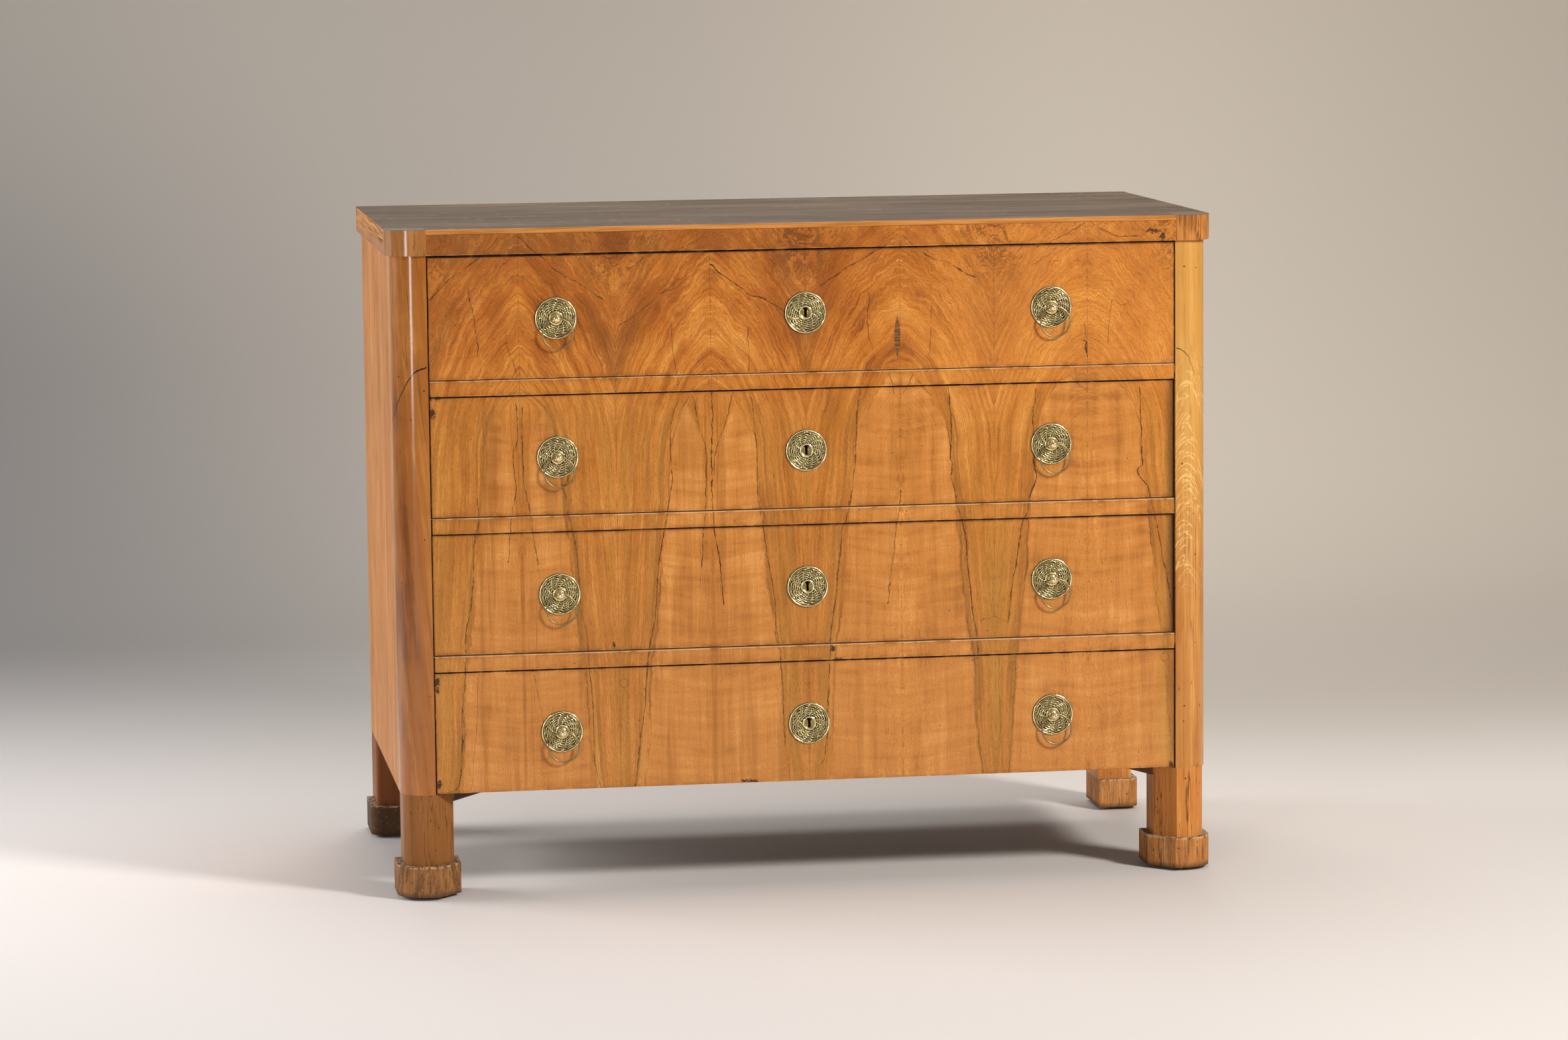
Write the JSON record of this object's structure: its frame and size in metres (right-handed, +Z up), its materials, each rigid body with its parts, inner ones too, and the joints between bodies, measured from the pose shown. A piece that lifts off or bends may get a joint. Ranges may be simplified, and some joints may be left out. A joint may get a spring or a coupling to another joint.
{
  "type": "chest of drawers",
  "caption": "Antique veneered chest with stacked drawers, rounded front corners, block feet, brass ring pulls on round rosette plates and matching keyhole plates.",
  "frame": {"origin": "middle of the bounding box's bottom, on the floor", "axes": "+X to the right seen from the front, +Y to the back, +Z up; the drawers open towards -Y"},
  "size_m": [1.16, 0.595, 0.929],
  "materials": {
    "top_wood": "old dark walnut with a worn satin polish",
    "front_veneer": "book-matched walnut veneer with a satin polish",
    "case_wood": "walnut with a satin polish",
    "inner_wood": "bare pine, aged",
    "brass": "aged stamped brass, worn bright on raised edges",
    "lock_iron": "dark wrought iron",
    "glide": "plain black"
  },
  "bodies": {
    "carcase": {"top_board": "top_wood", "top_front_edging": "front_veneer", "top_corner_blocks": "case_wood", "top_doubling_strips": "case_wood", "side_panel_left": "case_wood", "side_panel_right": "case_wood", "front_post_left": "case_wood", "front_post_right": "case_wood", "drawer_rails": "front_veneer", "drawer_runners": "inner_wood", "drawer_stops": "inner_wood", "back_boards": "inner_wood", "bottom_board": "inner_wood", "legs": "case_wood", "feet": "case_wood", "glides": "glide"},
    "drawer_1": {"drawer_1_front": "front_veneer", "drawer_1_sides": "inner_wood", "drawer_1_back": "inner_wood", "drawer_1_bottom": "inner_wood", "drawer_1_escutcheon": "brass", "drawer_1_pull_plates": "brass", "drawer_1_pull_posts": "brass", "drawer_1_lock_case": "lock_iron"},
    "drawer_1_lock_bolt": {"drawer_1_lock_bolt": "lock_iron"},
    "drawer_1_ring_left": {"drawer_1_ring_left": "brass"},
    "drawer_1_ring_right": {"drawer_1_ring_right": "brass"},
    "drawer_2": {"drawer_2_front": "front_veneer", "drawer_2_sides": "inner_wood", "drawer_2_back": "inner_wood", "drawer_2_bottom": "inner_wood", "drawer_2_escutcheon": "brass", "drawer_2_pull_plates": "brass", "drawer_2_pull_posts": "brass", "drawer_2_lock_case": "lock_iron"},
    "drawer_2_lock_bolt": {"drawer_2_lock_bolt": "lock_iron"},
    "drawer_2_ring_left": {"drawer_2_ring_left": "brass"},
    "drawer_2_ring_right": {"drawer_2_ring_right": "brass"},
    "drawer_3": {"drawer_3_front": "front_veneer", "drawer_3_sides": "inner_wood", "drawer_3_back": "inner_wood", "drawer_3_bottom": "inner_wood", "drawer_3_escutcheon": "brass", "drawer_3_pull_plates": "brass", "drawer_3_pull_posts": "brass", "drawer_3_lock_case": "lock_iron"},
    "drawer_3_lock_bolt": {"drawer_3_lock_bolt": "lock_iron"},
    "drawer_3_ring_left": {"drawer_3_ring_left": "brass"},
    "drawer_3_ring_right": {"drawer_3_ring_right": "brass"},
    "drawer_4": {"drawer_4_front": "front_veneer", "drawer_4_sides": "inner_wood", "drawer_4_back": "inner_wood", "drawer_4_bottom": "inner_wood", "drawer_4_escutcheon": "brass", "drawer_4_pull_plates": "brass", "drawer_4_pull_posts": "brass", "drawer_4_lock_case": "lock_iron"},
    "drawer_4_lock_bolt": {"drawer_4_lock_bolt": "lock_iron"},
    "drawer_4_ring_left": {"drawer_4_ring_left": "brass"},
    "drawer_4_ring_right": {"drawer_4_ring_right": "brass"}
  },
  "joints": [
    {"name": "drawer_1_slide", "type": "slide", "parent": "carcase", "child": "drawer_1", "axis": [0, -1, 0], "range_m": [0, 0.4]},
    {"name": "drawer_1_bolt_throw", "type": "slide", "parent": "drawer_1", "child": "drawer_1_lock_bolt", "axis": [0, 0, 1], "range_m": [0, 0.008]},
    {"name": "drawer_1_ring_left_swing", "type": "hinge", "parent": "drawer_1", "child": "drawer_1_ring_left", "pos_m": [-0.347, -0.2839, 0.80417], "axis": [-1, 0, 0], "range_deg": [-6, 186]},
    {"name": "drawer_1_ring_right_swing", "type": "hinge", "parent": "drawer_1", "child": "drawer_1_ring_right", "pos_m": [0.347, -0.2839, 0.80417], "axis": [-1, 0, 0], "range_deg": [-6, 186]},
    {"name": "drawer_2_slide", "type": "slide", "parent": "carcase", "child": "drawer_2", "axis": [0, -1, 0], "range_m": [0, 0.4]},
    {"name": "drawer_2_bolt_throw", "type": "slide", "parent": "drawer_2", "child": "drawer_2_lock_bolt", "axis": [0, 0, 1], "range_m": [0, 0.008]},
    {"name": "drawer_2_ring_left_swing", "type": "hinge", "parent": "drawer_2", "child": "drawer_2_ring_left", "pos_m": [-0.347, -0.2809, 0.6122], "axis": [-1, 0, 0], "range_deg": [-6, 186]},
    {"name": "drawer_2_ring_right_swing", "type": "hinge", "parent": "drawer_2", "child": "drawer_2_ring_right", "pos_m": [0.347, -0.2809, 0.6122], "axis": [-1, 0, 0], "range_deg": [-6, 186]},
    {"name": "drawer_3_slide", "type": "slide", "parent": "carcase", "child": "drawer_3", "axis": [0, -1, 0], "range_m": [0, 0.4]},
    {"name": "drawer_3_bolt_throw", "type": "slide", "parent": "drawer_3", "child": "drawer_3_lock_bolt", "axis": [0, 0, 1], "range_m": [0, 0.008]},
    {"name": "drawer_3_ring_left_swing", "type": "hinge", "parent": "drawer_3", "child": "drawer_3_ring_left", "pos_m": [-0.347, -0.2799, 0.4215], "axis": [-1, 0, 0], "range_deg": [-6, 186]},
    {"name": "drawer_3_ring_right_swing", "type": "hinge", "parent": "drawer_3", "child": "drawer_3_ring_right", "pos_m": [0.347, -0.2799, 0.4215], "axis": [-1, 0, 0], "range_deg": [-6, 186]},
    {"name": "drawer_4_slide", "type": "slide", "parent": "carcase", "child": "drawer_4", "axis": [0, -1, 0], "range_m": [0, 0.4]},
    {"name": "drawer_4_bolt_throw", "type": "slide", "parent": "drawer_4", "child": "drawer_4_lock_bolt", "axis": [0, 0, 1], "range_m": [0, 0.008]},
    {"name": "drawer_4_ring_left_swing", "type": "hinge", "parent": "drawer_4", "child": "drawer_4_ring_left", "pos_m": [-0.347, -0.2829, 0.22937], "axis": [-1, 0, 0], "range_deg": [-6, 186]},
    {"name": "drawer_4_ring_right_swing", "type": "hinge", "parent": "drawer_4", "child": "drawer_4_ring_right", "pos_m": [0.347, -0.2829, 0.22937], "axis": [-1, 0, 0], "range_deg": [-6, 186]}
  ]
}
